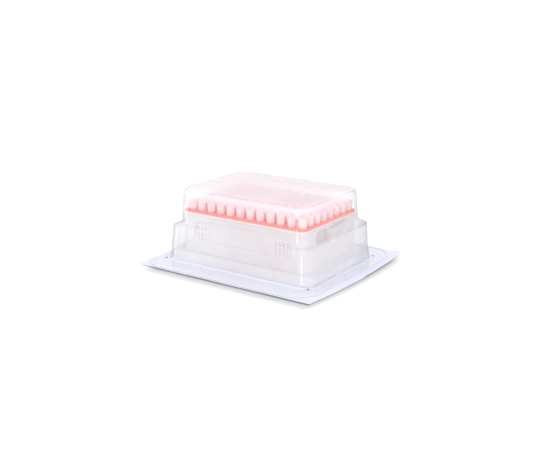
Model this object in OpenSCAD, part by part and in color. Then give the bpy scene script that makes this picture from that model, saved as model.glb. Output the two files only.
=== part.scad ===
// Blister-packed rack of pipette tips: a thermoformed clear dome sealed on a sheet
// of lidding paper, with a racked set of tips standing inside it.
// The origin is the middle of the lidding's underside. +X runs along the rack's
// long side towards the end where the lidding is peeled, +Y along its short side
// and +Z up. All sizes are in millimetres.

/* [Tips] */
// Distance between neighbouring tips, 9 on every standard rack
tip_pitch = 9; // [8:0.1:11]
// Length of a tip from its mouth to its point
tip_len = 44; // [36:0.5:53]
// Outer diameter of the collar at the tip's mouth
collar_d = 7.2; // [6:0.1:8]
// Height of the collar above its shoulder
collar_h = 7.3; // [4:0.1:8]
// Outer diameter of the shaft just below the collar
shaft_d = 5; // [4:0.1:5.2]
// Outer diameter at the point
point_d = 0.9; // [0.7:0.05:1.4]
// Diameter of the hole in the point
orifice_d = 0.4; // [0.2:0.05:0.5]
// Wall of the collar and of the top of the shaft
tip_wall = 0.5; // [0.35:0.05:0.6]
// Length of the narrow straight part at the point
point_len = 3; // [1:0.5:6]

/* [Deck plate] */
// Rim of the deck beyond the outer tips' axes, on the short ends
deck_margin_x = 5.25; // [5:0.05:8]
// Rim of the deck beyond the outer tips' axes, on the long sides
deck_margin_y = 6.2; // [5:0.1:9]
// Thickness of the plate that carries the tips
deck_t = 1.2; // [1:0.1:3]
// Depth of the skirt under the plate's edge
deck_skirt_h = 0.6; // [0.4:0.1:2]
// Thickness of that skirt
deck_skirt_t = 1; // [0.8:0.05:1.1]
// Radius of the deck's corners
deck_r = 5; // [4:0.5:7]
// Gap round a tip's shaft in its hole, on the radius
hole_gap = 0.15; // [0.1:0.05:0.3]

/* [Rack base] */
// Clearance between the tips' points and the lidding under the base
point_gap = 2.75; // [1:0.05:15]
// Wall of the base
rack_wall = 1.5; // [1.2:0.1:1.7]
// Draft of the body's walls, how far a wall leans out over its height
rack_lean = 0.5; // [0:0.1:1.5]
// Step from the body out to the foot, on the short ends
foot_step_x = 9.13; // [6:0.01:12]
// Step from the body out to the foot, on the long sides
foot_step_y = 5.04; // [3:0.01:8]
// Height of the foot
foot_h = 8; // [5:0.5:11]
// Radius of the foot's corners
foot_r = 6; // [2:0.5:8]
// Gap between the base's top rim and the deck's skirt
rim_gap = 0.15; // [0.05:0.05:0.2]
// Thickness of the base's top rim
rim_t = 1.1; // [0.8:0.1:1.2]
// Width of the grip window in each short end
grip_w = 44.8; // [30:0.2:54]
// Height of the grip window
grip_h = 10; // [6:0.5:12]
// Distance from the grip window's top to the deck's skirt
grip_drop = 2.9; // [2:0.1:6]
// Width of the latch frames on the long sides
latch_w = 15; // [12:0.5:17]
// Height of the latch frames
latch_h = 14; // [10:0.5:17]
// Width of the upright slots in a latch frame
latch_slot = 1.2; // [0.8:0.1:2]
// Distance between those slots
latch_pitch = 3.4; // [2.6:0.1:3.8]
// Distance from the deck's skirt to the middle of the latch frames
band_drop = 14.2; // [12:0.1:17]
// Thickness of the stiffening ribs inside the walls
rib_t = 1.2; // [0.8:0.1:1.5]
// Depth of those ribs
rib_depth = 2.5; // [1.5:0.1:2.8]

/* [Blister dome] */
// Thickness of the formed sheet
blister_t = 0.5; // [0.35:0.05:0.6]
// Gap between the rack's foot and the lower tier, on the short ends
foot_gap_x = 0.3; // [0.2:0.1:3]
// Gap between the rack's foot and the lower tier, on the long sides
foot_gap_y = 4.13; // [1:0.01:7]
// Gap between the deck and the upper tier, on the short ends
deck_gap_x = 2.65; // [1.5:0.05:4]
// Gap between the deck and the upper tier, on the long sides
deck_gap_y = 3.75; // [1.5:0.05:5]
// Free height above the tips
headroom = 9.3; // [4:0.1:14]
// How far the shoulder between the tiers lies below the deck's skirt
shoulder_drop = 10.1; // [7:0.1:14]
// Rise of the shoulder from its outer edge to the upper tier
shoulder_rise = 0.7; // [0.2:0.1:1.5]
// Corner radius of the lower tier
lower_r = 11; // [7:0.5:14]
// Corner radius of the upper tier
upper_r = 12.4; // [8:0.2:16]
// Draft of the lower tier, per millimetre of height
lower_draft = 0.065; // [0.02:0.005:0.09]
// Draft of the upper tier, per millimetre of height
upper_draft = 0.08; // [0.03:0.005:0.1]
// Radius of the edge round the top
top_edge_r = 5.3; // [3:0.1:7]
// Radius where walls meet the flange and the shoulder
foot_fillet = 1.2; // [0.8:0.1:1.6]
// Radius of the shoulder's and the pads' outer edges
shoulder_r = 1.6; // [1:0.1:2.2]
// Length of the pad in the middle of each long side
side_pad_len = 72; // [50:1:84]
// How far the long side's pad stops below the deck's skirt
side_pad_drop = 3.6; // [3:0.1:5]
// Length of the pad in the middle of each short end
end_pad_len = 21; // [14:1:36]
// How far the short end's pad rises above the deck's skirt
end_pad_rise = 1.1; // [0.5:0.1:3]
// Run of a pad's flank
pad_flank = 3; // [2:0.5:5]
// Width of the flange on the short ends
flange_x = 9.5; // [6:0.5:16]
// Width of the flange on the long sides
flange_y = 19.6; // [10:0.1:26]
// Corner radius of the flange
flange_r = 21; // [10:0.5:26]
// Length of the small stacking lugs on the flange, at the dome's four corners
lug_len = 4; // [2.4:0.1:5]
// Height of the stacking lugs
lug_h = 1.5; // [0.8:0.1:2.5]

/* [Lidding] */
// Thickness of the lidding sheet
lidding_t = 0.25; // [0.15:0.05:0.5]
// How far the lidding reaches beyond the flange's long sides
lidding_margin = 1.8; // [0.5:0.1:6]
// How far it reaches beyond the flange at the -X end
closed_margin = 0.8; // [0.5:0.1:6]
// How far it reaches at the +X end, where it is taken hold of to peel it off
peel_margin = 7.8; // [0.5:0.1:14]
// How far that end bows out in the middle
peel_bow = 4; // [0.5:0.1:8]

/* [Hidden] */
tip_columns = 12;
tip_rows = 8;
$fn = 48;
hull_fn = 32;

// Heights, from the bottom up. The base is as high as the tips under the deck need
rack_z = lidding_t;
foot_top_z = rack_z + foot_h;
point_z = rack_z + point_gap;
mouth_z = point_z + tip_len;
seat_z = mouth_z - collar_h;
plate_z = seat_z - deck_t;
deck_z = plate_z - deck_skirt_h;
top_z = mouth_z + headroom + blister_t;

// Tips
knee_height = 0.45;
knee_width = 0.62;
tip_taper = 0.1;
collar_taper = 0.25;
mouth_bevel = 0.15;

// Deck and rack
deck_half = [(tip_columns - 1) * tip_pitch / 2 + deck_margin_x,
             (tip_rows - 1) * tip_pitch / 2 + deck_margin_y];
foot_half = deck_half + [foot_step_x, foot_step_y];
rim_half = deck_half - [1, 1] * (deck_skirt_t + rim_gap);
rim_r = deck_r - deck_skirt_t - rim_gap;
rim_root_z = deck_z - grip_drop + 0.4;
hole_d = shaft_d + 2 * hole_gap;
grip_z = deck_z - grip_drop - grip_h / 2;
grip_r = 4;
latch_x = 4.1 * tip_pitch;
latch_slots = 4;
latch_bar = 3;
latch_cross_t = 1.6;
latch_cross_z = 1.2;
latch_proud = 0.8;
rib_root = 0.3;
band_z = deck_z - band_drop;
panel_half = [latch_x - latch_w / 2 - 2, latch_h / 2 - 0.5];
panel_depth = 0.6;
panel_r = 2;

// Blister: sizes of a tier are worked out at the height that it has to clear
flange_top_z = lidding_t + blister_t;
shoulder_z = deck_z - shoulder_drop;
side_pad_z = deck_z - side_pad_drop;
end_pad_z = deck_z + end_pad_rise;
skin = [blister_t, blister_t];
function lower_half(z) = foot_half + [foot_gap_x, foot_gap_y] + skin + [1, 1] * (foot_top_z - z) * lower_draft;
function upper_half(z) = deck_half + [deck_gap_x, deck_gap_y] + skin + [1, 1] * (seat_z - z) * upper_draft;
base_half = lower_half(flange_top_z);
flange_half = base_half + [flange_x, flange_y];
lidding_half = flange_half + [(closed_margin + peel_margin) / 2, lidding_margin];
peel_steps = 24;

// Everything but the lidding is off its middle, because the lidding reaches out further at the peel end
body_x = (closed_margin - peel_margin) / 2;

// Corners and fillets are limited by what they have to clear and by the shoulder's width
function clear_corner(r, gap) = r + gap[0] + gap[1] + sqrt(gap[0] * gap[1]);
lower_corner_r = min(lower_r, blister_t + clear_corner(foot_r, [foot_gap_x, foot_gap_y]));
upper_corner_r = min(upper_r, blister_t + clear_corner(deck_r, [deck_gap_x, deck_gap_y]));
ledge = min(lower_half(shoulder_z) - upper_half(shoulder_z));
outer_edge_r = min(shoulder_r, ledge / 2);
neck_r = min(foot_fillet, ledge / 3);
pad_top_run = 0.6;

function column_name(c) = str("tip_column_", c < 10 ? "0" : "", c);
function column_x(c) = (c - (tip_columns + 1) / 2) * tip_pitch;
function row_y(r) = (r - (tip_rows + 1) / 2) * tip_pitch;

// ---- Lofted skin of the dome ----

corner_steps = 8;
flank_steps = 3;
top_steps = 5;

// Points along one side, as [distance along it, how far the pad stands out]
function pad_run(half_len, depth) = let (
        rise = [for (i = [0:flank_steps])
            [-half_len - pad_flank / 2 + pad_flank * i / flank_steps, depth * (1 - cos(180 * i / flank_steps)) / 2]]
    )
    concat(rise, [for (i = [flank_steps:-1:0]) [-rise[i][0], rise[i][1]]]);

function corner_arc(centre, r, start) =
    [for (i = [0:corner_steps]) centre + r * [cos(start + 90 * i / corner_steps), sin(start + 90 * i / corner_steps)]];

// Half of the outline, from the middle of the +X end round to the middle of the -X end
function half_outline(half, r, pads, pad_halves) = concat(
    [for (p = pad_run(pad_halves[1], pads[0])) [half[0] + p[1], p[0]]],
    corner_arc(half - [r, r], r, 0),
    [for (p = pad_run(pad_halves[0], pads[1])) [-p[0], half[1] + p[1]]],
    corner_arc([r - half[0], half[1] - r], r, 90)
);

// The whole outline at height z. pads gives how far the end pads and side pads stand out,
// and the middle of each corner is raised by lug
function outline(z, half, r, pads, lug, pad_halves) = let (
        h = half_outline(half, r, pads, pad_halves),
        in_flank = 2 * (flank_steps + 1),
        in_corner = corner_steps + 1,
        mid = in_flank + corner_steps / 2
    )
    [for (half_turn = [1, -1], i = [0:len(h) - 1])
        let (raised = i == mid || i == mid + in_flank + in_corner)
        [half_turn * h[i][0], half_turn * h[i][1], z + (raised ? lug : 0)]];

// How far a pad stands out of the upper tier at height z
function pad_depth(z, pad_top, axis) = let (
        full = lower_half(z)[axis] - upper_half(z)[axis],
        over = z - (pad_top - outer_edge_r)
    )
    over <= 0 ? full
    : z <= pad_top ? full - outer_edge_r + sqrt(max(0, pow(outer_edge_r, 2) - pow(over, 2)))
    : 0;
function pads_at(z) = [pad_depth(z, end_pad_z, 0), pad_depth(z, side_pad_z, 1)];

// A ring is [z, half sizes, corner radius, pads, drop, inset, lug], where drop and inset
// say how the inner skin lies under the outer one: down and inwards by blister_t
lug_rings = [for (share = [1, 0.72, 0.28]) let (off = foot_fillet + share * lug_len)
    [flange_top_z, base_half + [off, off], lower_corner_r + off, [0, 0], 1, 0, share == 1 ? 0 : lug_h]];

foot_rings = [for (a = [90:-45:0]) let (
        z = flange_top_z + foot_fillet * (1 - sin(a)),
        off = foot_fillet * (1 - cos(a)))
    [z, lower_half(z) + [off, off], lower_corner_r + off, [0, 0], sin(a), cos(a), 0]];

shoulder_rings = [for (a = [0:45:90]) let (
        z = shoulder_z - outer_edge_r * (1 - sin(a)),
        in = outer_edge_r * (1 - cos(a)))
    [z, lower_half(z) - [in, in], lower_corner_r - in, [in, in], sin(a), cos(a), 0]];

neck_rings = [for (a = [90:-45:0]) let (
        z = shoulder_z + shoulder_rise + neck_r * (1 - sin(a)),
        off = neck_r * (1 - cos(a)))
    [z, upper_half(z) + [off, off], upper_corner_r + off, pads_at(z) - [off, off], sin(a), cos(a), 0]];

function pad_top_rings(pad_top) = [for (z = [pad_top - outer_edge_r, pad_top - outer_edge_r / 4, pad_top, pad_top + pad_top_run])
    [z, upper_half(z), upper_corner_r, pads_at(z), 1, 1, 0]];

edge_rings = [for (i = [0:top_steps]) let (
        a = 90 * i / top_steps,
        z = top_z - top_edge_r * (1 - sin(a)),
        in = top_edge_r * (1 - cos(a)))
    [z, upper_half(top_z - top_edge_r) - [in, in], upper_corner_r - in, [0, 0], sin(a), cos(a), 0]];

dome_rings = concat(lug_rings, foot_rings, shoulder_rings, neck_rings,
    pad_top_rings(side_pad_z), pad_top_rings(end_pad_z), edge_rings);

// Pads of the inner skin are a little narrower, so that their flanks keep the wall
pad_halves = [side_pad_len, end_pad_len] / 2;
inner_pad_halves = pad_halves - 0.6 * skin;

outer_skin = [for (g = dome_rings) outline(g[0], g[1], g[2], g[3], g[6], pad_halves)];
inner_skin = [for (g = dome_rings)
    outline(g[0] - blister_t * g[4], g[1] - skin * g[5], g[2] - blister_t * g[5], g[3], g[6], inner_pad_halves)];
flange_rim = [for (z = [lidding_t, flange_top_z]) outline(z, flange_half, flange_r, [0, 0], 0, pad_halves)];

function reversed(list) = [for (i = [len(list) - 1:-1:0]) list[i]];

// A closed solid from a list of rings with the same number of points. Each end is closed
// by triangles that meet on the axis
module loft(rings) {
    n = len(rings[0]);
    last = len(rings) - 1;
    points = concat([for (g = rings, p = g) p], [[0, 0, rings[0][0][2]], [0, 0, rings[last][0][2]]]);
    sides = [for (k = [0:last - 1], i = [0:n - 1])
        [k * n + i, (k + 1) * n + i, (k + 1) * n + (i + 1) % n, k * n + (i + 1) % n]];
    first_cap = [for (i = [0:n - 1]) [(last + 1) * n, i, (i + 1) % n]];
    last_cap = [for (i = [0:n - 1]) [(last + 1) * n + 1, last * n + (i + 1) % n, last * n + i]];
    polyhedron(points = points, faces = concat(first_cap, sides, last_cap), convexity = 6);
}

// ---- Small shared shapes ----

module rounded(half, r) {
    square([2 * (half[0] - r), 2 * half[1]], center = true);
    square([2 * half[0], 2 * (half[1] - r)], center = true);
    for (sx = [-1, 1], sy = [-1, 1])
        translate([sx * (half[0] - r), sy * (half[1] - r)])
            circle(r = r);
}

module rounded_block(half, r, z0, z1) {
    translate([0, 0, z0])
        linear_extrude(height = z1 - z0)
            rounded(half, r);
}

// ---- Sub-parts ----

module lidding_sheet() {
    color([0.86, 0.86, 0.95])
        linear_extrude(height = lidding_t)
            polygon(concat(
                [[-lidding_half[0], lidding_half[1]], [-lidding_half[0], -lidding_half[1]]],
                [for (i = [0:peel_steps]) let (share = 2 * i / peel_steps - 1)
                    [lidding_half[0] - peel_bow * share * share, share * lidding_half[1]]]
            ));
}

// One formed sheet: flange with its stacking lugs, lower tier, shoulder, upper tier with its pads, and top
module blister_dome() {
    color([0.88, 0.93, 0.98, 0.3])
        translate([body_x, 0, 0])
            loft(concat(reversed(inner_skin), flange_rim, outer_skin));
}

// The base's walls lean out by rack_lean from the deck down to the lidding
function body_half(z, inset) = deck_half + [1, 1] * (rack_lean * (deck_z - z) / (deck_z - rack_z) - inset);

module leaning_block(inset, z0, z1) {
    hull()
        for (z = [z0, z1 - 0.02])
            rounded_block(body_half(z, inset), deck_r - inset, z, z + 0.02, $fn = hull_fn);
}

// One-piece moulded base: open underneath, with a wide foot and a rim that the deck sits on
module rack_base() {
    color([0.93, 0.95, 0.97, 0.45])
        translate([body_x, 0, 0])
            difference() {
                union() {
                    leaning_block(0, foot_top_z - rack_wall, deck_z);
                    rounded_block(foot_half, foot_r, rack_z, foot_top_z);
                    rounded_block(rim_half, rim_r, rim_root_z - 1, plate_z);
                    at_latches()
                        latch_frame();
                }
                difference() {
                    union() {
                        leaning_block(rack_wall, rack_z - 1, rim_root_z);
                        rounded_block(foot_half - [1, 1] * rack_wall, foot_r - rack_wall, rack_z - 1, foot_top_z - rack_wall);
                        rounded_block(rim_half - [1, 1] * rim_t, rim_r - rim_t, rim_root_z - 1, plate_z + 1);
                    }
                    wall_ribs();
                }
                grip_windows();
                at_latches()
                    latch_windows();
                side_panels();
            }
}

// Ribs stand inside the walls, between the rows and columns of tips
module wall_ribs() {
    z0 = foot_top_z - rack_wall;
    foot_of_rib = body_half(z0, rack_wall - rib_root);
    for (side = [0, 180])
        rotate([0, 0, side]) {
            for (gap = [-5:2:5])
                translate([gap * tip_pitch - rib_t / 2, foot_of_rib[1] - rib_depth, z0])
                    cube([rib_t, rib_depth, plate_z - z0]);
            for (gap = [-3, 3])
                translate([foot_of_rib[0] - rib_depth, gap * tip_pitch - rib_t / 2, z0])
                    cube([rib_depth, rib_t, plate_z - z0]);
        }
}

module grip_windows() {
    translate([0, 0, grip_z])
        rotate([90, 0, 90])
            linear_extrude(height = 2 * foot_half[0], center = true)
                rounded([grip_w, grip_h] / 2, grip_r);
}

// Places a child at each latch, on the outer face of both long sides
module at_latches() {
    for (side = [0, 180], sx = [-1, 1])
        rotate([0, 0, side])
            translate([sx * latch_x, -body_half(band_z, 0)[1], band_z])
                children();
}

module latch_frame() {
    translate([-latch_w / 2, -latch_proud, -latch_h / 2])
        cube([latch_w, latch_proud + rack_wall / 2, latch_h]);
}

// Each latch frame has upright slots above and below a cross bar
module latch_windows() {
    reach = (latch_h - latch_bar) / 2;
    spans = [[-reach, latch_cross_z - latch_cross_t / 2], [latch_cross_z + latch_cross_t / 2, reach]];
    for (span = spans, i = [1:latch_slots])
        translate([(i - (latch_slots + 1) / 2) * latch_pitch - latch_slot / 2, -2 * latch_proud, span[0]])
            cube([latch_slot, 4 * latch_proud + rack_wall, span[1] - span[0]]);
}

module side_panels() {
    for (side = [0, 180])
        rotate([0, 0, side])
            translate([0, panel_depth - body_half(band_z, 0)[1], band_z])
                rotate([90, 0, 0])
                    linear_extrude(height = foot_half[1])
                        rounded(panel_half, panel_r);
}

// Plate with a hole for each tip, and a skirt that fits over the base's rim
module tip_deck() {
    color([0.98, 0.58, 0.53])
        translate([body_x, 0, 0])
            difference() {
                rounded_block(deck_half, deck_r, deck_z, seat_z);
                rounded_block(deck_half - [1, 1] * deck_skirt_t, deck_r - deck_skirt_t, deck_z - 1, plate_z);
                for (c = [1:tip_columns], r = [1:tip_rows])
                    translate([column_x(c), row_y(r), plate_z - 1])
                        cylinder(h = deck_t + 2, d = hole_d);
            }
}

// A tip: collar with a socket for the pipette, shoulder, and a shaft in two tapers
module tip() {
    knee_z = point_z + (seat_z - point_z) * knee_height;
    knee_r = shaft_d / 2 * knee_width;
    collar_r = collar_d / 2;
    socket_r = collar_r - tip_wall;
    rotate_extrude()
        polygon([
            [orifice_d / 2, point_z],
            [point_d / 2, point_z],
            [point_d / 2 + tip_taper, point_z + point_len],
            [knee_r, knee_z],
            [shaft_d / 2, seat_z],
            [collar_r - collar_taper, seat_z],
            [collar_r, mouth_z - 2 * mouth_bevel],
            [collar_r - mouth_bevel, mouth_z],
            [socket_r, mouth_z],
            [socket_r - collar_taper, seat_z + tip_wall],
            [shaft_d / 2 - tip_wall, seat_z - tip_wall],
            [knee_r - 0.8 * tip_wall, knee_z],
            [orifice_d / 2 + tip_taper, point_z + point_len],
        ]);
}

module tip_column(c) {
    color([0.97, 0.95, 0.93, 0.8])
        for (r = [1:tip_rows])
            translate([body_x + column_x(c), row_y(r), 0])
                tip();
}

lidding_sheet();
blister_dome();
rack_base();
tip_deck();
for (c = [1:tip_columns])
    tip_column(c);
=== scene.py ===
import math
from functools import reduce
from operator import mul

import bmesh
import bpy
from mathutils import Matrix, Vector, noise


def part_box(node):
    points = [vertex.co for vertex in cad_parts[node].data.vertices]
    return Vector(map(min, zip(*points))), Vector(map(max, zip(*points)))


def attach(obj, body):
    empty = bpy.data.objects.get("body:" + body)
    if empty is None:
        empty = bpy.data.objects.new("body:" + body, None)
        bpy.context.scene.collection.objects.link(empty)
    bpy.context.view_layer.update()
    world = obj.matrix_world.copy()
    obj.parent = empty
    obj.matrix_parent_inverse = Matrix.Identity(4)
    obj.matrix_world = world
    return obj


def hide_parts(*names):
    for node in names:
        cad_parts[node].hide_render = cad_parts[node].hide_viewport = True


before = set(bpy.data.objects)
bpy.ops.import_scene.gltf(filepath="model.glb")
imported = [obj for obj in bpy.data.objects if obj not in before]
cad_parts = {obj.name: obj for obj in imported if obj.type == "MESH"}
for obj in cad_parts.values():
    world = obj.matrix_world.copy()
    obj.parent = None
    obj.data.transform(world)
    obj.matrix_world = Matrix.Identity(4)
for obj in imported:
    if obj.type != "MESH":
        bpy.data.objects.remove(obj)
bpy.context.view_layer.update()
scene = bpy.context.scene
mm = 0.001
print("frame loaded:", len(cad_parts), "nodes")

domeLow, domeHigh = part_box("blister_dome")
deckLow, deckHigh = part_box("tip_deck")
rackLow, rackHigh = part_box("rack_base")
paperLow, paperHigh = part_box("lidding_sheet")
packMiddle = (domeLow + domeHigh) / 2  # the lidding reaches out past it at one end

cameraView = {
    "azimuth": 34.67,  # degrees round from the long side's middle
    "elevation": 15.6,
    "distance": 657 * mm,
    "aim": Vector((packMiddle.x, 0, 26.9 * mm)),
    "lens": 57.17,
}


def towards(azimuth, elevation=0):
    # a direction seen from the object, with the azimuth measured as the camera's is
    turn, rise = math.radians(azimuth), math.radians(elevation)
    return Vector((math.sin(turn) * math.cos(rise), -math.cos(turn) * math.cos(rise), math.sin(rise)))


def hang(name, data, away, place=(0, 0, 0)):
    # a camera or lamp that looks back along the direction it stands in
    thing = bpy.data.objects.new(name, data)
    thing.location = place
    thing.rotation_euler = (-away).to_track_quat("-Z", "Y").to_euler()
    scene.collection.objects.link(thing)
    return thing


def makeCamera(view):
    away = towards(view["azimuth"], view["elevation"])
    camera = hang("camera", bpy.data.cameras.new("camera"), away, view["aim"] + away * view["distance"])
    camera.data.lens = view["lens"]
    camera.data.clip_start = 0.01
    camera.data.clip_end = 200
    scene.camera = camera


makeCamera(cameraView)
print("camera placed")


class Shade:
    # one shader socket; sums and products of sockets become Math nodes
    def __init__(self, tree, outlet=None):
        self.tree = tree
        self.outlet = outlet

    def node(self, kind, settings=None, inputs=None, outlet=0):
        made = self.tree.nodes.new(kind)
        for name, value in (settings or {}).items():
            setattr(made, name, value)
        for name, value in (inputs or {}).items():
            if isinstance(value, Shade):
                self.tree.links.new(value.outlet, made.inputs[name])
            else:
                made.inputs[name].default_value = value
        return Shade(self.tree, made.outputs[outlet] if made.outputs else None)

    def maths(self, operation, *values):
        return self.node("ShaderNodeMath", {"operation": operation}, dict(enumerate(values)))

    def larger(self, first, second):
        return self.maths("MAXIMUM", first, second)

    def clamped(self, first, second):
        return self.node("ShaderNodeMath", {"operation": "ADD", "use_clamp": True}, {0: first, 1: second})

    def ramp(self, value, low, high):
        # 0 at low, 1 at high, eased at both ends
        if low > high:
            return 1 - self.ramp(value, high, low)
        return self.node("ShaderNodeMapRange", {"interpolation_type": "SMOOTHSTEP"},
                         {"Value": value, "From Min": low, "From Max": high})

    def axis(self, vector, letter):
        return self.node("ShaderNodeSeparateXYZ", None, {"Vector": vector}, letter)

    def cloud(self, place, scale, detail=2.0, distortion=0.0):
        return self.node("ShaderNodeTexNoise", None, {
            "Vector": place, "Scale": scale, "Detail": detail, "Distortion": distortion,
        })

    def bump(self, height, strength, depth):
        return self.node("ShaderNodeBump", None, {"Height": height, "Strength": strength, "Distance": depth})

    def tinted(self, share, first, second, how="MIX"):
        first, second = (c if isinstance(c, Shade) else (*c, 1) for c in (first, second))
        return self.node("ShaderNodeMix", {"data_type": "RGBA", "blend_type": how},
                         {0: share, 6: first, 7: second}, 2)

    def plain(self, kind, colour, **inputs):
        # a shader of one colour
        return self.node(kind, None, {"Color": (*colour, 1), **inputs})

    def mixed(self, share, first, second):
        return self.node("ShaderNodeMixShader", None, {0: share, 1: first, 2: second})

    def __add__(self, other):
        return self.maths("ADD", self, other)

    def __radd__(self, other):
        return self.maths("ADD", other, self)

    def __sub__(self, other):
        return self.maths("SUBTRACT", self, other)

    def __rsub__(self, other):
        return self.maths("SUBTRACT", other, self)

    def __mul__(self, other):
        return self.maths("MULTIPLY", self, other)

    def __rmul__(self, other):
        return self.maths("MULTIPLY", other, self)

    def __pow__(self, other):
        return self.maths("POWER", self, other)

    def __abs__(self):
        return self.maths("ABSOLUTE", self)


def newMaterial(name):
    material = bpy.data.materials.new(name)
    material.use_nodes = True
    material.node_tree.nodes.clear()
    shade = Shade(material.node_tree)
    return material, shade, shade.node("ShaderNodeTexCoord", None, None, "Object")


def surface(shade, shader):
    shade.node("ShaderNodeOutputMaterial", None, {"Surface": shader})


def meshObject(bm, name, material):
    mesh = bpy.data.meshes.new(name)
    bm.to_mesh(mesh)
    bm.free()
    mesh.materials.append(material)
    thing = bpy.data.objects.new(name, mesh)
    scene.collection.objects.link(thing)
    return thing


# the floor's shadow follows the lidding's outline, so the lidding's sizes come before the studio
lidding = {
    "thickness": paperHigh.z - paperLow.z,
    "bow": 4 * mm,  # how far the peel end stands out in its middle
    "closedBow": 2 * mm,
    "edgeLift": 0.4 * mm,
    "liftReach": 14 * mm,
    "wave": 0.2 * mm,
    "waveLength": 28 * mm,
    "lip": 0.7 * mm,  # the turned-up rim of the long sides
    "lipWidth": 1.6 * mm,
    "lipCurve": 1.5,
    "cornerCurl": {(-1, -1): 0.2 * mm, (1, -1): 0.1 * mm, (1, 1): 0.7 * mm, (-1, 1): 0.7 * mm},
    "curlReach": 8 * mm,
    "cells": (110, 100),
    "rimCrowding": 1.5,  # cells are closer together near the rim, where the paper turns up
}

studio = {
    "floorSize": 60,
    "floorDrop": 0.05 * mm,
    "floorColour": (0.93, 0.93, 0.93),
    "shadowColour": (0.33, 0.335, 0.34),
    "floorGlow": 0.08,  # seen by the camera only, so that the floor reads as white paper
    "softShadow": 0.74,
    "softReach": 18 * mm,
    "endStretch": 1.7,  # the soft shadow is shorter past the peel end
    "closedFade": 22 * mm,
    "farFade": 26 * mm,
    "closeShadow": 22 * mm,
    "closeDepth": 4,
    "closeSamples": 16,
    "worldDiffuse": 0.99,
    "suns": {
        "sunFront": {"azimuth": 40, "elevation": 32, "strength": 1.7, "angle": 60},
        "sunSide": {"azimuth": -36, "elevation": 34, "strength": 0.16, "angle": 14},
    },
    "strips": {  # tall lights below the table's edge, which the dome's upright corners mirror
        "stripNear": {"azimuth": 21, "distance": 1.5, "width": 0.22, "low": -0.9, "high": -0.02, "radiance": 4.5},
        "stripFar": {"azimuth": -57, "distance": 1.5, "width": 0.28, "low": -0.9, "high": -0.02, "radiance": 4.5},
    },
}


def floorShadow(shade, place):
    # soft by the distance to the lidding's bowed outline, and dark right under its edge
    x, y = shade.axis(place, "X"), shade.axis(place, "Y")
    bowed = y * (1 / paperHigh.y)
    peelEdge = paperHigh.x - lidding["bow"] * bowed * bowed
    beyondEnd = shade.larger(studio["endStretch"] * (x - peelEdge), 0.0)
    beyondSide = shade.larger(paperLow.y - y, 0.0)
    gap = shade.maths("SQRT", beyondEnd * beyondEnd + beyondSide * beyondSide)
    soft = studio["softShadow"] * (1 - shade.ramp(gap, 0, studio["softReach"]))
    openness = shade.node("ShaderNodeAmbientOcclusion", {"samples": studio["closeSamples"]},
                          {"Distance": studio["closeShadow"]}, "AO")
    closedSide = shade.ramp(x, paperLow.x, paperLow.x + studio["closedFade"])
    farSide = shade.ramp(y, paperHigh.y, paperHigh.y - studio["farFade"])
    return closedSide * farSide * shade.larger(1 - openness ** studio["closeDepth"], soft)


def makeFloor():
    material, shade, place = newMaterial("floorPaper")
    lit = shade.plain("ShaderNodeBsdfDiffuse", studio["floorColour"])
    shaded = shade.plain("ShaderNodeBsdfDiffuse", studio["shadowColour"])
    paper = shade.mixed(floorShadow(shade, place), lit, shaded)
    cameraRay = shade.node("ShaderNodeLightPath", None, None, "Is Camera Ray")
    glow = shade.node("ShaderNodeEmission", None, {"Strength": cameraRay * studio["floorGlow"]})
    surface(shade, shade.node("ShaderNodeAddShader", None, {0: paper, 1: glow}))
    bm = bmesh.new()
    bmesh.ops.create_grid(bm, x_segments=1, y_segments=1, size=studio["floorSize"] / 2)
    bmesh.ops.translate(bm, verts=bm.verts, vec=(0, 0, -studio["floorDrop"]))
    floor = meshObject(bm, "floor", material)
    floor.visible_glossy = False  # mirrors see past the table's edge


def makeWorld():
    # full white to the camera and to mirrors, and a little less as light
    world = bpy.data.worlds.new("studio")
    world.use_nodes = True
    world.node_tree.nodes.clear()
    scene.world = world
    shade = Shade(world.node_tree)
    camera, glossy, transmission = (
        shade.node("ShaderNodeLightPath", None, None, "Is " + ray + " Ray")
        for ray in ("Camera", "Glossy", "Transmission"))
    seen = shade.clamped(shade.clamped(camera, glossy), transmission)
    strength = studio["worldDiffuse"] + seen * (1 - studio["worldDiffuse"])
    background = shade.plain("ShaderNodeBackground", (1, 1, 1), Strength=strength)
    shade.node("ShaderNodeOutputWorld", None, {"Surface": background})


def makeSun(name, sun):
    lamp = bpy.data.lights.new(name, "SUN")
    lamp.energy = sun["strength"]
    lamp.angle = math.radians(sun["angle"])
    thing = hang(name, lamp, towards(sun["azimuth"], sun["elevation"]))
    thing.visible_glossy = False  # no broad glare on the dome's top from the far side


def makeStrip(name, strip):
    lamp = bpy.data.lights.new(name, "AREA")
    lamp.shape = "RECTANGLE"
    lamp.size = strip["width"]
    lamp.size_y = strip["high"] - strip["low"]
    lamp.energy = strip["radiance"] * math.pi * lamp.size * lamp.size_y
    away = towards(strip["azimuth"])
    middle = Vector((0, 0, (strip["high"] + strip["low"]) / 2))
    thing = hang(name, lamp, away, away * strip["distance"] + middle)
    thing.visible_camera = False


makeFloor()
makeWorld()
for name, sun in studio["suns"].items():
    makeSun(name, sun)
for name, strip in studio["strips"].items():
    makeStrip(name, strip)
scene.view_settings.view_transform = "Standard"
scene.cycles.transparent_max_bounces = 32  # a line of sight passes many clear walls
scene.cycles.diffuse_bounces = 8
print("studio built")

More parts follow.
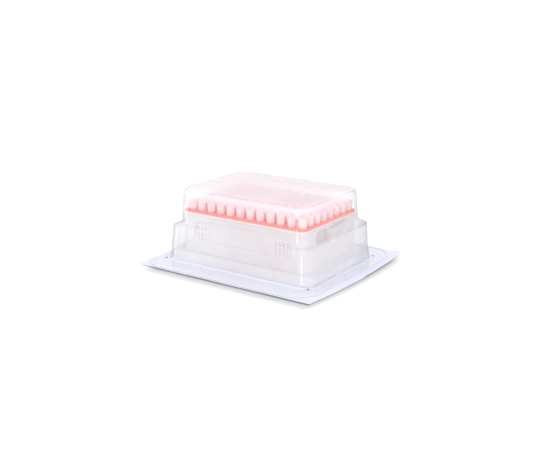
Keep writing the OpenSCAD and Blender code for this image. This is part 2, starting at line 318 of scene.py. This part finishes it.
dome = {
    "wall": 0.5 * mm,
    "lowerGap": Vector((0.3, 4.13)) * mm,
    "upperGap": Vector((2.65, 3.75)) * mm,
    "lowerDraft": 0.065,  # lean of the walls
    "upperDraft": 0.05,
    "lowerCorner": 11 * mm,
    "upperCorner": 12.4 * mm,
    "shoulderDrop": 10.1 * mm,
    "shoulderRise": 0.7 * mm,
    "shoulderTilt": 2.6 * mm,  # the shoulder runs higher along the far side
    "tiltReach": 40 * mm,
    "tiltBand": 2 * mm,
    "edge": 1.6 * mm,
    "fillet": 1.2 * mm,
    "topEdge": 5.3 * mm,
    "crown": ((1, 0.05), (3, 0.12), (8, 0.22), (16, 0.3), (24, 0.33)),  # mm in from the edge, and mm up
    "leastCorner": 3 * mm,
    "endPad": {"half": 10.5 * mm, "rise": 1.1 * mm},
    "sidePad": {"half": 36 * mm, "rise": -3.6 * mm},
    "padFlank": 3 * mm,
    "padFade": 0.5 * mm,
    "flangeCorner": 21 * mm,
    "flangeClear": 0.08 * mm,  # the flange lies this far above the lidding
    "lug": {"out": 3.6 * mm, "radius": 1.7 * mm, "height": 1.5 * mm, "steepness": 1.6},
    "footHeight": 8 * mm,  # of the base's foot, which the lower tier follows
    "steps": {"flange": 14, "fillet": 4, "wall": 4, "edge": 5, "topEdge": 8, "corner": 16, "flank": 6},
    "padAngles": (0, 22, 45, 67, 90),  # rings round a pad's top edge
    "padRises": (0.25 * mm, 0.5 * mm, 1 * mm),
    "upperRings": (2, 1.4),  # top edges down from the top
    "padStep": 5 * mm,
    "flankGap": 0.6 * mm,  # close to the flank, so that the flat part shades flat
    "runLeft": 0.5 * mm,
}
flangeTop = domeLow.z + dome["wall"]
footTop = rackLow.z + dome["footHeight"]
deckZ = deckLow.z
shoulderZ = deckZ - dome["shoulderDrop"]
topZ = domeHigh.z
flangeHalf = Vector((domeHigh.x - packMiddle.x, domeHigh.y))
wallPair = Vector((dome["wall"], dome["wall"]))
unitPair = Vector((1, 1))
slant = (0.3, 0.72)  # Facing, from where a face begins to look edge on to where it does


def clearPlastic(name, look, marks):
    # a thin clear wall: most light goes straight through, it mirrors more at a low angle,
    # darkens where it is seen along its skin, and has a little milk in it
    material, shade, place = newMaterial(name)
    bump = shade.bump(shade.cloud(place, look["swellScale"]), *look["swell"])
    facing = shade.node("ShaderNodeLayerWeight", None, {"Blend": 0.5, "Normal": bump}, "Facing")
    seen = marks(shade, look, place, facing)
    headOn = 0.04  # what a clear plastic mirrors straight on
    mirrored = headOn + (1 - headOn) * facing ** 5
    uneven = 1 - look["uneven"] / 2 + look["uneven"] * shade.cloud(place, *look["cloud"])
    milky = shade.clamped(look["haze"] * uneven, seen["milk"])
    # the marks' lines are painted dark lines and painted shade in the skin's grey
    skin = shade.larger(seen["line"], seen["skin"] * shade.ramp(facing, look["skinFrom"], look["skinTo"]))
    through = shade.plain("ShaderNodeBsdfTransparent", look["tint"])
    bodies = []
    for colour in (look["colour"], look["otherColour"]):
        front = shade.plain("ShaderNodeBsdfDiffuse", colour, Normal=bump)
        behind = shade.plain("ShaderNodeBsdfTranslucent", colour, Normal=bump)
        bodies.append(shade.mixed(look["inward"], front, behind))
    # on the blister the second colour is painted pink bounce light from the deck
    walled = shade.mixed(milky, through, shade.mixed(seen["other"], *bodies))
    gloss = shade.node("ShaderNodeBsdfGlossy", None, {"Roughness": look["roughness"] + seen["dull"], "Normal": bump})
    along = shade.plain("ShaderNodeBsdfTransparent", look["skin"])
    surface(shade, shade.mixed(skin, shade.mixed(mirrored, walled, gloss), along))
    return material


blisterLook = {
    "tint": (0.99, 0.992, 0.995),
    "colour": (0.85, 0.855, 0.88),
    "otherColour": (1.0, 0.91, 0.975),  # painted pink bounce light from the deck, in the upper tier's milk
    "haze": 0.03,
    "uneven": 0.4,
    "cloud": (60.0, 3.0),  # scale and detail
    "inward": 0.2,  # share of the milk that is lit from behind
    "roughness": 0.06,
    "swell": (0.2, 1 * mm),  # strength and depth
    "swellScale": 52.0,
    "skin": (0.42, 0.45, 0.48),
    "skinFrom": 0.82,
    "skinTo": 0.99,
    # the milk of the lower tiers is their own; the milk over the upper walls, the closed end's upper wall and the
    # top, more where the top is seen at a low angle, is painted glare of the studio light, and the thin band under
    # the top's edge a painted highlight
    "milk": {
        "lower": 0.1, "peelTier": 0.14, "glareVeil": 0.34, "closedWall": 0.2, "topHighlight": 0.04,
        "topGlare": 0.34, "outer": 0.34, "peelTop": -0.12,
    },
    # dark lines drawn with the skin's grey: a painted reflection line round the top's edge, a painted dark outline
    # along the shoulder's rounded edges at the ends, and painted shade on the far end and on the closed end's lower
    # tier
    "line": {"top": 0.25, "shoulder": 0.36, "farEnd": 0.1, "closedTier": 0.05},
    # takes the painted pink bounce off near the closed and far rims of the top
    "paleRim": 0.6,
    "crownSkin": 0.8,  # how much less of its skin the top shows
    "dull": 0.4,  # keeps the face of the peel end's pad from glinting
    "zones": {
        "upper": [("deck", -1.5, 1.5)],
        "lower": [("foot", 1.5, 3.5)],
        "crown": [("top", -1.4, -0.3)],
        "glareVeil": [("top", -9.5, -3)],
        "topHighlight": [("top", -2.8, -2.3), ("top", -1.5, -1.8)],
        "topReflectionLine": [("top", -1.75, -1.4), ("top", -1.05, -1.4), ("x", -52, -25)],
        "closedTop": [("x", -8, -50)],
        "farTop": [("y", 16, 38)],
        "peelTop": [("x", 20, 50)],
        "closedRim": [("x", -48, -62)],
        "farRim": [("y", 24, 40)],
        "closedWall": [("x", -20, -56), ("top", -1, -4), ("deckTop", 1.5, 5)],
        "shoulderLine": [("shoulder", -1.8, -0.9), ("shoulder", 0.5, 0), ("ends", 57, 66)],
        "farSide": [("y", 16, 36)],
        "closedHalf": [("x", 0, -40)],
        "farEnd": [("x", 30, 58), ("y", 12, 36), ("flange", 1, 4)],
        "peelTier": [("x", 48, 64)],
        "closedTier": [("x", -40, -64), ("flange", 1, 4)],
        "padFace": [("x", 57, 59), ("sides", 16, 13), ("shoulder", -2, 1)],
    },
}


levels = {
    "foot": domeLow.z, "flange": flangeTop, "shoulder": shoulderZ,
    "deck": deckZ, "deckTop": deckHigh.z, "top": topZ,
}


def zoneFinder(shade, place, zones):
    # a zone is a product of ramps between two places in mm: x from the pack's middle, y from its
    # centre line, ends and sides the same both ways, and the rest up from a level
    along, across, height = (shade.axis(place, letter) for letter in "XYZ")

    def share(measure, low, high, up):
        if measure == "x":
            value, origin = along, packMiddle.x
        elif measure == "y":
            value, origin = across, 0
        elif measure == "ends":
            value, origin = abs(along - packMiddle.x), 0
        elif measure == "sides":
            value, origin = abs(across), 0
        else:
            value, origin = up, levels[measure]
        return shade.ramp(value, origin + low * mm, origin + high * mm)

    def zone(name, up=height):
        return reduce(mul, (share(*limits, up) for limits in zones[name]))

    return zone


def blisterMarks(shade, look, place, facing):
    # the tiers' own milk, with painted glare as extra milk on the upper walls and the top, a painted highlight band
    # and a painted reflection line round the top's edge, painted dark outlines and painted shade on the shoulder and
    # the ends, and where the painted pink bounce from the deck shows
    zone = zoneFinder(shade, place, look["zones"])
    milk, line = look["milk"], look["line"]
    upper, crown = zone("upper"), zone("crown")
    lower = zone("lower") * (1 - upper)
    farEnd = zone("farEnd") * (1 - crown)
    outer = shade.larger(zone("closedTop"), zone("farTop"))
    # painted glare on the top, stronger towards the closed end and the far side, weaker at the peel end
    topGlare = milk["topGlare"] + milk["outer"] * outer + milk["peelTop"] * zone("peelTop")
    milks = (
        milk["lower"] * lower,
        milk["peelTier"] * lower * zone("peelTier"),
        # painted glare of the studio light, as extra milk
        milk["glareVeil"] * zone("glareVeil") * (1 - crown),
        milk["closedWall"] * zone("closedWall") * upper,
        # a painted highlight band under the top's edge
        milk["topHighlight"] * zone("topHighlight"),
        topGlare * crown * shade.ramp(facing, *slant),
    )
    tilt = dome["shoulderTilt"] * shade.ramp(shade.axis(place, "Y"), 0, dome["tiltReach"])
    shoulder = zone("shoulderLine", shade.axis(place, "Z") - tilt)
    # painted dark lines and painted shade
    lines = (
        line["top"] * zone("topReflectionLine"),
        line["shoulder"] * shoulder * shade.larger(zone("farSide"), zone("closedHalf")),
        line["farEnd"] * farEnd,
        line["closedTier"] * zone("closedTier") * (1 - upper),
    )
    paleRim = look["paleRim"] * shade.larger(zone("closedRim"), zone("farRim"))
    return {
        "milk": sum(milks[1:], milks[0]),
        "line": sum(lines[1:], lines[0]),
        # where the upper tier shows the painted pink bounce from the deck
        "other": upper * (1 - farEnd) * (1 - paleRim),
        "dull": look["dull"] * zone("padFace"),
        "skin": 1 - look["crownSkin"] * crown,
    }


baseLook = {
    "tint": (0.995, 0.992, 0.995),
    "colour": (1.0, 0.975, 0.985),
    "otherColour": (1.0, 0.995, 1.0),  # of the ends' walls
    "haze": 0.54,
    "uneven": 0.4,
    "cloud": (60.0, 3.0),  # scale and detail
    "inward": 0.27,
    "roughness": 0.35,
    "swell": (0.2, 1 * mm),  # strength and depth
    "swellScale": 120.0,
    "skin": (0.8, 0.8, 0.82),
    "skinFrom": 0.85,
    "skinTo": 1.0,
    # the rim's milk is a painted highlight under the deck
    "milk": {"rim": 0.3, "ends": 0.16},
    "zones": {
        "rim": [("deck", -1.2, -0.7)],
        "closedEnd": [("x", 20, -50)],
        "peelEnd": [("x", 50, 58), ("y", -42, 0)],
    },
}


def baseMarks(shade, look, place, facing):
    # a painted highlight, as extra milk in a thin band along the rim under the deck, and the ends' walls are paler
    zone = zoneFinder(shade, place, look["zones"])
    ends = shade.larger(zone("closedEnd"), zone("peelEnd"))
    milk = look["milk"]["rim"] * zone("rim") + look["milk"]["ends"] * ends
    return {"milk": milk, "line": 0.0, "other": ends, "dull": 0.0, "skin": 1.0}


deckLook = {
    "colours": ((1.0, 0.23, 0.19), (0.98, 0.27, 0.23)),
    "edgeHighlightColour": (1.0, 0.7, 0.68),  # painted highlight: the lowest edge of the skirt is drawn nearly white
    "edge": (0.7 * mm, 0.2 * mm),
    "roughness": (0.35, 0.1),  # least, and how much more
    "flow": (90.0, 3.0),  # scale and detail
    "grainScale": 1500.0,
    "grain": (0.1, 0.2 * mm),  # strength and depth
}


def makeDeckPlastic(look):
    material, shade, place = newMaterial("salmonDeck")
    flow = shade.cloud(place, *look["flow"])
    # painted highlight along the skirt's lowest edge
    edge = shade.ramp(shade.axis(place, "Z"), *(deckZ + rise for rise in look["edge"]))
    surface(shade, shade.node("ShaderNodeBsdfPrincipled", None, {
        "Base Color": shade.tinted(edge, shade.tinted(flow, *look["colours"]), look["edgeHighlightColour"]),
        "Roughness": look["roughness"][0] + look["roughness"][1] * flow,
        "Normal": shade.bump(shade.cloud(place, look["grainScale"]), *look["grain"]),
    }))
    return material


tipLook = {
    "colours": ((0.98, 0.92, 0.935), (0.99, 0.95, 0.965)),
    "deckBounceColour": (1.0, 0.33, 0.36),  # painted pink bounce light from the deck, along the sides of the collars
    "deckReach": 8 * mm,
    "deckLeast": 0.4,  # share of it that is left at the collar's mouth
    "deckFaceOn": 0.1,  # share of it where the side is seen face on
    "glow": (0.99, 0.93, 0.92),
    "glowShare": 0.3,
    "roughness": (0.3, 0.1),
    "cloudScale": 200.0,
    "solid": (0.25, 0.5),  # of the shafts, and how much more of the collars
    "collar": (-1 * mm, 0.5 * mm),
}


def makeTipPlastic(look):
    # cloudy plastic, clearer in the shafts, with painted pink bounce light from the deck on the collars' sides
    material, shade, place = newMaterial("tipPlastic")
    height = shade.axis(place, "Z")
    collar = shade.ramp(height, *(deckHigh.z + rise for rise in look["collar"]))
    fading = shade.node("ShaderNodeMapRange", None, {
        "Value": height, "From Min": deckHigh.z, "From Max": deckHigh.z + look["deckReach"],
        "To Min": 1.0, "To Max": look["deckLeast"],
    })
    upright = shade.axis(shade.node("ShaderNodeNewGeometry", None, None, "Normal"), "Z")
    side = 1 - upright * upright
    facing = shade.node("ShaderNodeLayerWeight", None, {"Blend": 0.5}, "Facing")
    edgeOn = look["deckFaceOn"] + (1 - look["deckFaceOn"]) * shade.ramp(facing, *slant)
    cloud = shade.cloud(place, look["cloudScale"])
    own = shade.tinted(cloud, *look["colours"])
    body = shade.node("ShaderNodeBsdfPrincipled", None, {
        # the painted deck bounce is strongest on the collars' sides where they are seen edge on
        "Base Color": shade.tinted(collar * fading * side * edgeOn, own, look["deckBounceColour"]),
        "Roughness": look["roughness"][0] + look["roughness"][1] * cloud,
    })
    glowing = shade.plain("ShaderNodeBsdfTranslucent", look["glow"])
    through = shade.plain("ShaderNodeBsdfTransparent", (1, 1, 1))
    solid = look["solid"][0] + look["solid"][1] * collar
    surface(shade, shade.mixed(solid, through, shade.mixed(look["glowShare"], body, glowing)))
    return material


paperLook = {
    "coatings": ((0.85, 0.86, 0.965), (0.9, 0.91, 0.995)),
    "bare": (0.8, 0.805, 0.965),  # multiplies the coating outside the flange
    "bareEdge": 1 * mm,
    "under": (0.97, 0.97, 0.98),
    "turn": 0.1,  # how flat a face must lie to count as the top or the underside
    "roughness": (0.45, 0.15),
    "fibres": (500.0, 6.0, 1.5),  # scale, detail and distortion
    "fibreShare": 0.4,
    "fibreBump": (0.15, 0.2 * mm),
    "cloudScale": 25.0,
}


def makeLiddingPaper(look):
    # coated lavender on top, plain white underneath
    material, shade, place = newMaterial("liddingPaper")
    fibres = shade.cloud(place, *look["fibres"])
    cloud = shade.cloud(place, look["cloudScale"])
    mottle = (1 - look["fibreShare"]) * cloud + look["fibreShare"] * fibres
    coated = shade.tinted(mottle, *look["coatings"])
    corner = dome["flangeCorner"]
    along, across = abs(shade.axis(place, "X") - packMiddle.x), abs(shade.axis(place, "Y"))
    overEnd = shade.larger(along - (flangeHalf.x - corner), 0.0)
    overSide = shade.larger(across - (flangeHalf.y - corner), 0.0)
    reach = shade.maths("SQRT", overEnd * overEnd + overSide * overSide)
    bare = shade.ramp(reach, corner - look["bareEdge"], corner + look["bareEdge"])
    coated = shade.tinted(bare, coated, look["bare"], "MULTIPLY")
    upright = shade.axis(shade.node("ShaderNodeNewGeometry", None, None, "Normal"), "Z")
    under = shade.node("ShaderNodeMapRange", None, {
        "Value": upright, "From Min": look["turn"], "From Max": -look["turn"],
    })
    surface(shade, shade.node("ShaderNodeBsdfPrincipled", None, {
        "Base Color": shade.tinted(under, coated, look["under"]),
        "Roughness": look["roughness"][0] + look["roughness"][1] * fibres,
        "Normal": shade.bump(fibres, *look["fibreBump"]),
    }))
    return material


clearBlister = clearPlastic("clearBlister", blisterLook, blisterMarks)
clearBase = clearPlastic("clearBase", baseLook, baseMarks)
salmonDeck = makeDeckPlastic(deckLook)
tipPlastic = makeTipPlastic(tipLook)
liddingPaper = makeLiddingPaper(paperLook)
print("materials made")

# the base, the deck and the tips keep their own mesh
for name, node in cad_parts.items():
    if name.startswith("tip_column"):
        node.material_slots[0].material = tipPlastic
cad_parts["tip_deck"].material_slots[0].material = salmonDeck
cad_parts["rack_base"].material_slots[0].material = clearBase
print("packed pieces finished")


def placePiece(bm, name, material):
    piece = meshObject(bm, name, material)
    for face in piece.data.polygons:
        face.use_smooth = True
    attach(piece, "root")
    return piece


def addWall(piece, thickness):
    wall = piece.modifiers.new("wall", "SOLIDIFY")
    wall.thickness = thickness
    wall.offset = -1


def smooth(share):
    share = min(1, max(0, share))
    return share * share * (3 - 2 * share)


def outsideRounded(x, y, half, r):
    # distance outside a rounded rectangle, negative inside it
    qx = abs(x) - (half[0] - r)
    qy = abs(y) - (half[1] - r)
    return math.hypot(max(qx, 0), max(qy, 0)) + min(max(qx, qy), 0) - r


def lowerHalf(z):
    foot = Vector((rackHigh.x - packMiddle.x, rackHigh.y))
    return foot + dome["lowerGap"] + wallPair + unitPair * (footTop - z) * dome["lowerDraft"]


def upperHalf(z):
    deck = Vector((deckHigh.x - packMiddle.x, deckHigh.y))
    return deck + dome["upperGap"] + wallPair + unitPair * (deckHigh.z - z) * dome["upperDraft"]


def edgeLift(x, y):
    # how the sealed edge lifts, with small waves
    away = outsideRounded(x, y, lowerHalf(flangeTop), dome["lowerCorner"])
    swell = noise.noise(Vector((x, y, 0)) / lidding["waveLength"])
    return smooth(away / lidding["liftReach"]) * (lidding["edgeLift"] + lidding["wave"] * swell)


def padDepth(z, rise, axis):
    # how far a pad stands out from the upper wall, with its top edge rounded
    full = lowerHalf(z)[axis] - upperHalf(z)[axis]
    edge = dome["edge"]
    over = z - (deckZ + rise - edge)
    if over <= 0:
        return full
    if over <= edge:
        return full - edge + math.sqrt(max(0, edge**2 - over**2))
    return max(0, (full - edge) * (1 - (over - edge) / dome["padFade"]))


def padsAt(z):
    return Vector((padDepth(z, dome["endPad"]["rise"], 0), padDepth(z, dome["sidePad"]["rise"], 1)))


def section(z, half, r, pads=Vector((0, 0))):
    return {"z": z, "half": half, "r": r, "pads": pads}


def blended(a, b, share):
    return section(
        a["z"] + (b["z"] - a["z"]) * share, a["half"].lerp(b["half"], share),
        a["r"] + (b["r"] - a["r"]) * share, a["pads"].lerp(b["pads"], share))


def quarterTurn(steps, first=0):
    return [math.radians(90 * i / steps) for i in range(first, steps + 1)]


def spreadEvenly(low, high, count):
    return [low + (high - low) * i / count for i in range(count + 1)]


def flangeSections():
    spread = unitPair * dome["fillet"]
    foot = section(flangeTop, lowerHalf(flangeTop) + spread, dome["lowerCorner"] + dome["fillet"])
    rim = section(flangeTop, flangeHalf, dome["flangeCorner"])
    return [blended(rim, foot, share) for share in spreadEvenly(0, 1, dome["steps"]["flange"])]


def lowerSections():
    # up from the flange's fillet, and over the rounded edge onto the shoulder
    fillet, edge, corner, steps = dome["fillet"], dome["edge"], dome["lowerCorner"], dome["steps"]
    rings = []
    for a in quarterTurn(steps["fillet"], 1):
        z, out = flangeTop + fillet * (1 - math.cos(a)), fillet * (1 - math.sin(a))
        rings.append(section(z, lowerHalf(z) + unitPair * out, corner + out))
    for z in spreadEvenly(flangeTop + fillet, shoulderZ - edge, steps["wall"])[1:]:
        rings.append(section(z, lowerHalf(z), corner))
    for a in quarterTurn(steps["edge"], 1):
        z, inset = shoulderZ - edge * (1 - math.sin(a)), edge * (1 - math.cos(a))
        rings.append(section(z, lowerHalf(z) - unitPair * inset, corner - inset, unitPair * inset))
    return rings


def neckSections():
    # the fillet from the shoulder into the upper tier
    rings = []
    for a in quarterTurn(dome["steps"]["fillet"]):
        z = shoulderZ + dome["shoulderRise"] + dome["fillet"] * (1 - math.cos(a))
        out = dome["fillet"] * (1 - math.sin(a))
        half, corner = upperHalf(z) + unitPair * out, dome["upperCorner"] + out
        rings.append(section(z, half, corner, padsAt(z) - unitPair * out))
    return rings


def upperSections(start):
    # rings are close together where a pad's top edge rounds off
    heights = [topZ - share * dome["topEdge"] for share in dome["upperRings"]]
    for pad in (dome["sidePad"], dome["endPad"]):
        top = deckZ + pad["rise"]
        heights += [top - dome["edge"] * (1 - math.sin(math.radians(a))) for a in dome["padAngles"]]
        heights += [top + rise for rise in dome["padRises"]]
    return [section(z, upperHalf(z), dome["upperCorner"], padsAt(z)) for z in sorted(heights) if z > start]


def topSections():
    # the rounded top edge, and the crowned middle
    topEdge, corner = dome["topEdge"], dome["upperCorner"]
    half = upperHalf(topZ - topEdge)
    rings = []
    for a in quarterTurn(dome["steps"]["topEdge"]):
        inset = topEdge * (1 - math.cos(a))
        rings.append(section(topZ - topEdge * (1 - math.sin(a)), half - unitPair * inset, corner - inset))
    for inward, bulge in dome["crown"]:
        inset = topEdge + inward * mm
        rings.append(section(topZ + bulge * mm, half - unitPair * inset, max(dome["leastCorner"], corner - inset)))
    return rings


def domeSections():
    # the dome's outline at each height, from the flange's edge up to the middle of the top
    rings = flangeSections() + lowerSections()
    neck = neckSections()
    rings += [blended(rings[-1], neck[0], 0.5)] + neck
    return rings + upperSections(rings[-1]["z"]) + topSections()


def padEnd(axis):
    pad = dome["sidePad"] if axis == 1 else dome["endPad"]
    return pad["half"] + dome["padFlank"] / 2


def padShare(along, axis):
    return smooth((padEnd(axis) - abs(along)) / dome["padFlank"])


def direction(angle):
    return Vector((math.cos(angle), math.sin(angle)))


def stationsAround():
    # places round an outline: four corners in steps of angle, and the runs between them
    stations = []
    beyond = (0.05, 0.25, 0.5, 0.75)  # shares of the run from the pad's end to the corner
    for quarter in range(4):
        corner = math.radians(90 * quarter)
        for a in quarterTurn(dome["steps"]["corner"]):
            stations.append({"corner": direction(corner + math.pi / 4), "way": direction(corner + a)})
        axis = 1 if quarter % 2 == 0 else 0
        end = padEnd(axis)
        start = end - dome["padFlank"]
        flank = spreadEvenly(start, end, dome["steps"]["flank"])
        inner = start - dome["flankGap"]
        middle = spreadEvenly(-inner, inner, max(2, round(inner / dome["padStep"])))
        places = [(-share, -end) for share in reversed(beyond)]
        places += [(0, along) for along in [-s for s in reversed(flank)] + middle + flank]
        places += [(share, end) for share in beyond]
        side = direction(corner + math.pi / 2)
        stations += [{"side": side, "axis": axis, "beyond": share, "along": along} for share, along in places]
    return stations


def lugHeight(x, y):
    lug = dome["lug"]
    base = lowerHalf(flangeTop)
    reach = (dome["lowerCorner"] + lug["out"]) * math.sqrt(0.5) - dome["lowerCorner"]
    away = math.hypot(abs(x) - base.x - reach, abs(y) - base.y - reach)
    return lug["height"] * smooth(lug["steepness"] * (1 - away / lug["radius"]))


def placeFlat(station, ring):
    half, r = ring["half"], ring["r"]
    if "corner" in station:
        corner = station["corner"]
        centre = Vector((math.copysign(1, corner.x) * (half.x - r), math.copysign(1, corner.y) * (half.y - r)))
        return centre + station["way"] * r
    way, axis = station["side"], station["axis"]
    run = half[1 - axis] - r
    along = station["along"] * min(1, (run - dome["runLeft"]) / padEnd(axis))
    along += station["beyond"] * (run - abs(along))
    out = half[axis] + ring["pads"][axis] * padShare(along, axis)
    return way * out + Vector((-way.y, way.x)) * along


def placeOn(station, ring):
    flat = placeFlat(station, ring)
    z = ring["z"]
    if ring["z"] < footTop:
        z += edgeLift(flat.x, flat.y) + dome["flangeClear"]
    if ring["z"] <= flangeTop:
        z += lugHeight(flat.x, flat.y)
    if abs(ring["z"] - shoulderZ) < dome["tiltBand"]:
        z += dome["shoulderTilt"] * smooth(flat.y / dome["tiltReach"])
    return Vector((flat.x, flat.y, z))


def makeBlister():
    bm = bmesh.new()
    stations = stationsAround()
    before = None
    for ring in domeSections():
        verts = bmesh.ops.create_circle(bm, cap_ends=False, segments=len(stations), radius=1)["verts"]
        for vert, station in zip(verts, stations):
            vert.co = placeOn(station, ring)
        edges = list({edge for vert in verts for edge in vert.link_edges})
        if before:
            bmesh.ops.bridge_loops(bm, edges=before + edges)
        before = edges
    bmesh.ops.contextual_create(bm, geom=before)
    bmesh.ops.recalc_face_normals(bm, faces=bm.faces)
    bmesh.ops.translate(bm, verts=bm.verts, vec=(packMiddle.x, 0, 0))
    piece = placePiece(bm, "blisterShell", clearBlister)
    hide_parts("blister_dome")
    addWall(piece, dome["wall"])
    print("blister dome:", len(piece.data.polygons), "faces")


def paperEnds(y):
    # both ends bow out, the peel end more
    share = (y / paperHigh.y) ** 2
    return paperLow.x + lidding["closedBow"] * share, paperHigh.x - lidding["bow"] * share


def makeLidding():
    bm = bmesh.new()
    columns, rows = lidding["cells"]
    bmesh.ops.create_grid(bm, x_segments=columns, y_segments=rows, size=1)
    for vert in bm.verts:
        u, v = (math.copysign(1 - (1 - abs(c)) ** lidding["rimCrowding"], c) for c in vert.co.xy)
        y = v * paperHigh.y
        closed, peel = paperEnds(y)
        x = closed + (peel - closed) * (u + 1) / 2
        curl = lidding["cornerCurl"][(1 if x > 0 else -1, 1 if y > 0 else -1)]
        beyond = outsideRounded(x - packMiddle.x, y, flangeHalf, dome["flangeCorner"])
        turned = max(0, 1 - (paperHigh.y - abs(y)) / lidding["lipWidth"])
        lift = lidding["lip"] * turned ** lidding["lipCurve"] + curl * smooth(beyond / lidding["curlReach"])
        vert.co = (x, y, paperHigh.z + edgeLift(x - packMiddle.x, y) + lift)
    piece = placePiece(bm, "liddingSheet", liddingPaper)
    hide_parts("lidding_sheet")
    addWall(piece, lidding["thickness"])
    print("lidding sheet:", len(piece.data.polygons), "faces")


makeBlister()
makeLidding()
